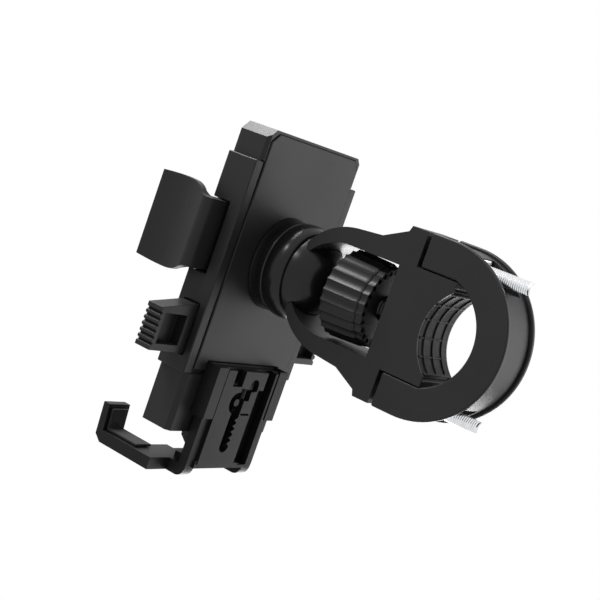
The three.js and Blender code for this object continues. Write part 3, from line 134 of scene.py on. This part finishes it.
class Finish:
    """A procedural material whose pattern is laid out in the object's own place."""

    def __init__(self, name, **constants):
        self.material = bpy.data.materials.new(name)
        self.material.use_nodes = True
        self.tree = self.material.node_tree
        self.tree.nodes.clear()
        self.shader = self.node("BsdfPrincipled", {}, constants)
        output = self.tree.nodes.new("ShaderNodeOutputMaterial")
        self.tree.links.new(self.shader.node.outputs[0], output.inputs["Surface"])
        self.place = self.node("TexCoord").value("Object")

    def node(self, kind, settings=None, sockets=None):
        node = self.tree.nodes.new("ShaderNode" + kind)
        for key, setting in (settings or {}).items():
            setattr(node, key, setting)
        made = Node(self, node)
        for key, given in (sockets or {}).items():
            self.join(node.inputs[key], given)
        return made

    def join(self, socket, given):
        if isinstance(given, Value):
            self.tree.links.new(given.socket, socket)
        else:
            socket.default_value = given

    def stretched(self, scale):
        return self.node("Mapping", {}, {"Vector": self.place, "Scale": scale}).value(0)

    def noise(self, scale, detail=2.0, place=None):
        sockets = {"Vector": place or self.place, "Scale": scale, "Detail": detail}
        return self.node("TexNoise", {}, sockets).value(0)

    def speckle(self, scale):
        sockets = {"Vector": self.place, "Scale": scale}
        return self.node("TexVoronoi", {}, sockets).value("Distance")

    def tint(self, mask, dark, light):
        mix = self.node("Mix", {"data_type": "RGBA"}, {0: mask})
        mix.node.inputs[6].default_value = (*dark, 1)
        mix.node.inputs[7].default_value = (*light, 1)
        return mix.value(2)

    def relief(self, height, depth, strength=1.0):
        sockets = {"Height": height, "Distance": depth, "Strength": strength}
        return self.node("Bump", {}, sockets).value(0)

    def coat(self, colour, roughness, normal):
        for key, given in (("Base Color", colour), ("Roughness", roughness), ("Normal", normal)):
            self.join(self.shader.node.inputs[key], given)
        return self.material


def moulded_plastic(name, dark, light, shine, grain_depth, mirror=0.2):
    """Black plastic from a spark-textured mould: a fine grain, faint flow clouds and rubbed places."""
    finish = Finish(name, **{"Specular IOR Level": mirror})
    clouds = finish.noise(55, 3)
    grain = finish.noise(2600, 3)
    pits = finish.speckle(3400)
    rubbed = finish.noise(18, 5) ** 3
    colour = finish.tint(clouds * 0.7 + rubbed * 0.6, dark, light)
    roughness = shine + grain * 0.10 - rubbed * 0.25 + clouds * 0.05
    normal = finish.relief(grain + pits * 0.5, grain_depth * MM, 0.6)
    return finish.coat(colour, roughness, normal)


def polished_plastic():
    """Glossy black plastic with hardly any grain and a few hairlines of wear."""
    finish = Finish("polished_black", **{"Specular IOR Level": 0.26})
    clouds = finish.noise(70, 2)
    hairlines = finish.noise(60, 6, finish.stretched((1, 14, 1))) ** 4
    colour = finish.tint(clouds, (0.006, 0.006, 0.007), (0.011, 0.011, 0.012))
    roughness = 0.2 + hairlines * 0.5 + clouds * 0.05
    return finish.coat(colour, roughness, finish.relief(clouds, 0.04 * MM, 0.4))


def soft_rubber():
    """Matte black rubber with a stippled skin and a little dust in it."""
    finish = Finish("black_rubber", **{"Specular IOR Level": 0.35})
    dust = finish.noise(240, 5)
    stipple = finish.speckle(2200)
    colour = finish.tint(dust ** 2 * 0.9, (0.008, 0.008, 0.008), (0.035, 0.035, 0.036))
    roughness = 0.72 + dust * 0.2
    return finish.coat(colour, roughness, finish.relief(stipple + dust * 0.4, 0.05 * MM, 0.8))


def ribbed_rubber():
    """Clamp rubber whose raised rib crests carry a painted highlight, a paler grey than the hollows between
    them.
    """
    finish = Finish("ribbed_rubber", **{"Specular IOR Level": 0.3})
    along = finish.node("SeparateXYZ", {}, {0: finish.place})
    depth = ((along.value("Y") - SADDLE_CENTRE_Y * MM) ** 2 + along.value("Z") ** 2) ** 0.5
    fade = {0: depth, 1: RIB_TOP * MM, 2: (RIB_TOP + RIB_HIGHLIGHT_FADE) * MM, 3: 1.0, 4: 0.0}
    # Painted highlight: the colour turns pale grey on the rib crests above the rib top radius, its strength
    # varied by a noise.
    rib_highlight = finish.node("MapRange", {}, fade).value(0)
    wear = finish.noise(300, 4)
    colour = finish.tint(rib_highlight * (0.55 + wear * 0.6), (0.008, 0.008, 0.008), (0.30, 0.30, 0.30))
    return finish.coat(colour, 0.55 + wear * 0.2, finish.relief(wear, 0.04 * MM, 0.6))


def turned_steel():
    """Bright plated steel with fine turning marks round the screw and a few dull spots."""
    finish = Finish("bright_steel", Metallic=1.0)
    marks = finish.noise(900, 3, finish.stretched((0.2, 5, 0.2)))
    spots = finish.noise(420, 4) ** 3
    colour = finish.tint(spots + marks * 0.3, (0.86, 0.87, 0.88), (0.60, 0.61, 0.63))
    roughness = 0.16 + marks * 0.14 + spots * 0.3
    return finish.coat(colour, roughness, finish.relief(marks, 0.015 * MM, 0.5))


FINISHES = {
    "plastic": moulded_plastic("black_moulded", (0.014, 0.014, 0.015), (0.024, 0.024, 0.026), 0.40, 0.05),
    "inner": moulded_plastic("black_inner", (0.018, 0.018, 0.020), (0.030, 0.030, 0.032), 0.50, 0.03),
    "gloss": polished_plastic(),
    "rubber": soft_rubber(),
    "ribbed": ribbed_rubber(),
    # A darker copy of the moulded plastic: painted shade for the recessed foot bracket, foot guide and latch
    # pin.
    "painted_shade_plastic": moulded_plastic("black_foot_painted_shade", (0.007, 0.007, 0.008), (0.013, 0.013, 0.014), 0.42, 0.04, 0.13),
    "steel": turned_steel(),
}
# The foot parts take the painted-shade plastic; the saddle pad takes the rubber with painted rib highlights.
OWN_FINISH = {"saddle_pad": "ribbed", "foot_bracket": "painted_shade_plastic", "foot_guide": "painted_shade_plastic", "foot_latch_pin": "painted_shade_plastic"}
SLOT_OF = {part["node"]: part["material_slot"] for part in frame["record"]["subparts"]}
BODY_OF = {node: body for body, nodes in frame["record"]["behaviour"]["bodies"].items() for node in nodes}


def finish_of(node):
    return FINISHES[OWN_FINISH.get(node, SLOT_OF[node])]


# ---- Bench tools ----
def alone(piece):
    bpy.ops.object.select_all(action="DESELECT")
    bpy.context.view_layer.objects.active = piece
    piece.select_set(True)


def edit(piece):
    alone(piece)
    bpy.ops.object.mode_set(mode="EDIT")
    bpy.ops.mesh.select_all(action="SELECT")


def done():
    bpy.ops.object.mode_set(mode="OBJECT")


def modify(piece, kind, **settings):
    alone(piece)
    modifier = piece.modifiers.new(kind.lower(), kind)
    for key, setting in settings.items():
        setattr(modifier, key, setting)
    bpy.ops.object.modifier_apply(modifier=modifier.name)


def drawn(name, points):
    """A line of points, drawn one after another from a small square closed to a point."""
    bpy.ops.object.select_all(action="DESELECT")
    bpy.ops.mesh.primitive_plane_add(size=MM)
    piece = bpy.context.active_object
    piece.name = piece.data.name = name
    edit(piece)
    bpy.ops.mesh.merge(type="CENTER")
    points = [Vector(point) * MM for point in points]
    bpy.ops.transform.translate(value=points[0])
    for here, there in zip(points, points[1:]):
        bpy.ops.mesh.extrude_vertices_move(TRANSFORM_OT_translate={"value": there - here})
    done()
    return piece


def lathed(name, profile, steps=96):
    """A profile of (radius, y) points turned about the stem's axis."""
    piece = drawn(name, [(radius, y, 0) for radius, y in profile])
    turned = {"axis": "Y", "steps": steps, "render_steps": steps}
    modify(piece, "SCREW", use_merge_vertices=True, merge_threshold=1e-6, **turned)
    edit(piece)
    bpy.ops.mesh.remove_doubles(threshold=2e-6)
    bpy.ops.mesh.normals_make_consistent(inside=False)
    done()
    return piece


def soft_edges(piece, width, segments=2, angle=30, clamp=True):
    modify(
        piece,
        "BEVEL",
        width=width * MM,
        segments=segments,
        limit_method="ANGLE",
        angle_limit=math.radians(angle),
        use_clamp_overlap=clamp,
        harden_normals=False,
    )
    smooth(piece)
    modify(piece, "WEIGHTED_NORMAL", mode="FACE_AREA", weight=100, keep_sharp=True)


def smooth(piece, angle=32):
    alone(piece)
    bpy.ops.object.shade_smooth_by_angle(angle=math.radians(angle))


def place(piece, node, *more):
    """Gives a finished piece the finish and the body of the node that it stands for."""
    piece.data.materials.clear()
    piece.data.materials.append(finish_of(node))
    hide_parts(node, *more)
    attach(piece, BODY_OF[node])


def dressed(node, width, segments=2, clamp=True):
    """The moulded part with its edges broken to a small radius."""
    source = frame["nodes"][node]
    piece = bpy.data.objects.new(node + "_moulding", source.data.copy())
    bpy.context.scene.collection.objects.link(piece)
    edit(piece)
    bpy.ops.mesh.remove_doubles(threshold=3e-6)
    bpy.ops.mesh.dissolve_limited(angle_limit=math.radians(0.3))
    done()
    soft_edges(piece, width, segments, 30, clamp)
    place(piece, node)
    return piece


# ---- Ball joint and lock wheel ----
def arc(radius, start, end, steps, centre=BALL_Y):
    points = []
    for i in range(steps + 1):
        angle = math.radians(start + (end - start) * i / steps)
        points.append((radius * math.sin(angle), centre - radius * math.cos(angle)))
    return points


def ball_and_stem():
    stem_angle = 180 - math.degrees(math.asin(STEM_R / BALL_R))
    profile = arc(BALL_R, 0, stem_angle, 40)
    thread_start, pitch = -43.6, 1.25
    for turn in range(24):
        y = thread_start + turn * pitch
        profile += [(STEM_R - 0.35, y), (STEM_R - 0.05, y + pitch * 0.5)]
    profile += [(STEM_R - 0.5, -12.4), (STEM_R - 0.9, -12.05), (0, -12.05)]
    piece = lathed("ball_and_threaded_stem", profile, 80)
    smooth(piece, 40)
    place(piece, "swivel_ball")


def lock_wheel():
    """A thumb wheel with scooped finger flutes that meet in narrow ridges, tapering to a smooth rim."""
    flutes, back_y, front_y = 26, -39.65, -22.25
    ridge_r, flute_depth = 16.58, 0.8
    fluted, chamfer = 12.4, 1.2
    outline = []
    for i in range(flutes * 10):
        angle = 2 * math.pi * i / (flutes * 10)
        radius = ridge_r - flute_depth * abs(math.sin(angle * flutes / 2)) ** 0.8
        outline.append((radius * math.cos(angle), back_y, radius * math.sin(angle)))
    piece = drawn("lock_wheel", outline)
    edit(piece)
    bpy.ops.mesh.edge_face_add()
    for step, taper in ((1.0, 1.0), (fluted, 0.962), (chamfer, 0.975)):
        bpy.ops.mesh.extrude_region_move(TRANSFORM_OT_translate={"value": (0, step * MM, 0)})
        centre = (0, 0, 0)
        bpy.ops.transform.resize(value=(taper, 1, taper), center_override=centre)
    bpy.ops.mesh.inset(thickness=0.3 * MM)
    rise = front_y - (back_y + 1.0 + fluted + chamfer)
    bpy.ops.mesh.extrude_region_move(TRANSFORM_OT_translate={"value": (0, rise * MM, 0)})
    bpy.ops.mesh.inset(thickness=2.2 * MM)
    bpy.ops.mesh.extrude_region_move(TRANSFORM_OT_translate={"value": (0, -0.6 * MM, 0)})
    bpy.ops.mesh.select_all(action="SELECT")
    bpy.ops.mesh.normals_make_consistent(inside=False)
    done()
    bpy.ops.object.select_all(action="DESELECT")
    bpy.ops.mesh.primitive_cylinder_add(
        vertices=64,
        radius=WHEEL_BORE_R * MM,
        depth=30 * MM,
        location=(0, -31 * MM, 0),
        rotation=(math.pi / 2, 0, 0),
    )
    bore = bpy.context.active_object
    alone(piece)
    modify(piece, "BOOLEAN", object=bore, operation="DIFFERENCE", solver="EXACT")
    bpy.data.objects.remove(bore)
    soft_edges(piece, 0.2, 2, 40, True)
    place(piece, "thumb_wheel")


def socket_ring():
    """The screwed ring that holds the ball: a rounded waist, a seam and a thin lip."""
    bore = arc(SOCKET_BORE_R, 101, 90, 6)
    profile = [
        *bore,
        (17.45, -63.9), (17.45, -65.5), (17.8, -65.5), (18.0, -65.3), (18.15, -64.6),
        (18.3, -63.6), (18.38, -62.6), (18.36, -61.6), (18.25, -60.7), (18.05, -59.9),
        (17.78, -59.2), (17.5, -58.6), (17.28, -58.1), (17.05, -57.85), (16.8, -57.72),
        (16.5, -57.68),
    ]
    profile.append(profile[0])
    piece = lathed("socket_ring", profile, 96)
    smooth(piece, 40)
    place(piece, "socket_collar")


def clamp_screw(node, side):
    """A socket-head screw with a rolled thread."""
    z = side * CLAMP_SCREW_Z
    head_back, head_front, tip = -19.3, -14.3, 28.25
    head_r, shank_r, root_r, pitch, socket_depth = 4.2, 2.5, 2.18, 0.8, 2.6
    profile = [
        (0, head_back + socket_depth), (2.2, head_back + socket_depth), (2.3, head_back), (3.7, head_back),
        (head_r, head_back + 0.5), (head_r, head_front), (shank_r, head_front),
    ]
    y = -6.0
    while y < tip - 1.2:
        profile += [(shank_r, y), (root_r, y + 0.4)]
        y += pitch
    profile += [(2.2, tip - 0.5), (1.8, tip), (0, tip)]
    piece = lathed(node + "_body", profile, 40)
    edit(piece)
    bpy.ops.transform.translate(value=(0, 0, z * MM))
    done()
    smooth(piece, 30)
    place(piece, node)


# ---- Everything together ----
set_camera()

# How wide each moulding's edges are broken, in millimetres, and in how many steps.
EDGES = {
    "yoke": (0.45, 3),
    "saddle_pad": (0.12, 2),
    "jaw": (0.4, 3),
    "jaw_cover_right": (0.7, 3),
    "jaw_cover_left": (0.7, 3),
    "jaw_pad": (0.15, 2),
    "clamp_nut_upper": (0.2, 2),
    "clamp_nut_lower": (0.2, 2),
    "socket_base": (0.2, 2),
    "front_plate": (0.5, 3),
    "rear_housing": (0.5, 3),
    "side_casing_right": (0.75, 3),
    "side_casing_left": (0.75, 3),
    "back_cover": (0.4, 3),
    "phone_pad": (0.4, 3),
    "arm_right": (0.45, 3),
    "arm_left": (0.45, 3),
    "arm_pad_right": (0.4, 3),
    "arm_pad_left": (0.4, 3),
    "release_button_right": (0.25, 2),
    "release_button_left": (0.25, 2),
    "foot_guide": (0.3, 2),
    "foot_bracket": (0.4, 2),
    "foot_pad_right": (0.25, 2),
    "foot_pad_left": (0.25, 2),
}
for node, (width, segments) in EDGES.items():
    dressed(node, width, segments)

ball_and_stem()
lock_wheel()
socket_ring()
clamp_screw("clamp_screw_upper", 1)
clamp_screw("clamp_screw_lower", -1)

for node, obj in frame["nodes"].items():
    obj.data.materials.clear()
    obj.data.materials.append(finish_of(node))


def floor_finish():
    """Pale paper that takes a shadow and reads as plain white where it is looked at."""
    finish = Finish("studio_floor", Roughness=0.9)
    mottle = finish.noise(3, 2)
    paper = finish.tint(mottle, (0.8, 0.8, 0.8), (0.83, 0.83, 0.83))
    finish.join(finish.shader.node.inputs["Base Color"], paper)
    rays = finish.node("LightPath")
    seen = rays.value("Is Camera Ray") + rays.value("Is Glossy Ray") + rays.value("Is Transmission Ray")
    shade = finish.node("Emission", {}, {"Color": (1, 1, 1, 1), "Strength": 1.0})
    mix = finish.node("MixShader", {}, {0: seen})
    finish.tree.links.new(finish.shader.node.outputs[0], mix.node.inputs[1])
    finish.tree.links.new(shade.node.outputs[0], mix.node.inputs[2])
    output = next(node for node in finish.tree.nodes if node.type == "OUTPUT_MATERIAL")
    finish.tree.links.new(mix.node.outputs[0], output.inputs["Surface"])
    return finish.material


def lay_floor():
    """A wide floor far enough below the mount to leave its underside lit."""
    bpy.ops.object.select_all(action="DESELECT")
    bpy.ops.mesh.primitive_plane_add(size=8, location=(0, 0, 0))
    floor = bpy.context.active_object
    floor.name = "floor"
    edit(floor)
    bpy.ops.transform.translate(value=(0, 0, -0.8))
    done()
    floor.data.materials.append(floor_finish())


def light_world():
    """Soft light all round, which reads as plain white wherever it is looked at or mirrored."""
    world = bpy.data.worlds.new("studio")
    bpy.context.scene.world = world
    world.use_nodes = True
    tree = world.node_tree
    tree.nodes.clear()
    soft, white = (tree.nodes.new("ShaderNodeBackground") for _ in range(2))
    soft.inputs["Color"].default_value = white.inputs["Color"].default_value = (1, 1, 1, 1)
    soft.inputs["Strength"].default_value = 0.3
    white.inputs["Strength"].default_value = 1.0
    rays = tree.nodes.new("ShaderNodeLightPath")
    seen = rays.outputs["Is Camera Ray"]
    for other in ("Is Glossy Ray", "Is Transmission Ray"):
        add = tree.nodes.new("ShaderNodeMath")
        add.operation = "MAXIMUM"
        tree.links.new(seen, add.inputs[0])
        tree.links.new(rays.outputs[other], add.inputs[1])
        seen = add.outputs[0]
    mix = tree.nodes.new("ShaderNodeMixShader")
    out = tree.nodes.new("ShaderNodeOutputWorld")
    tree.links.new(seen, mix.inputs[0])
    tree.links.new(soft.outputs[0], mix.inputs[1])
    tree.links.new(white.outputs[0], mix.inputs[2])
    tree.links.new(mix.outputs[0], out.inputs["Surface"])


lay_floor()
light_world()
soft_lamp("window_light", (-0.85, 0.75, 0.05), (0, -0.03, 0), 1.1, 7)
soft_lamp("overhead_light", (0.1, -0.60, 0.85), (0, -0.05, 0), 0.6, 22)
soft_lamp("low_light", (-0.85, -0.20, -0.55), (0, 0, 0), 0.55, 8)
soft_lamp("near_light", (0.75, -0.25, 0.75), (0, -0.06, 0), 0.14, 2.4)

bpy.context.scene.view_settings.view_transform = "Standard"

bpy.ops.object.select_all(action="DESELECT")
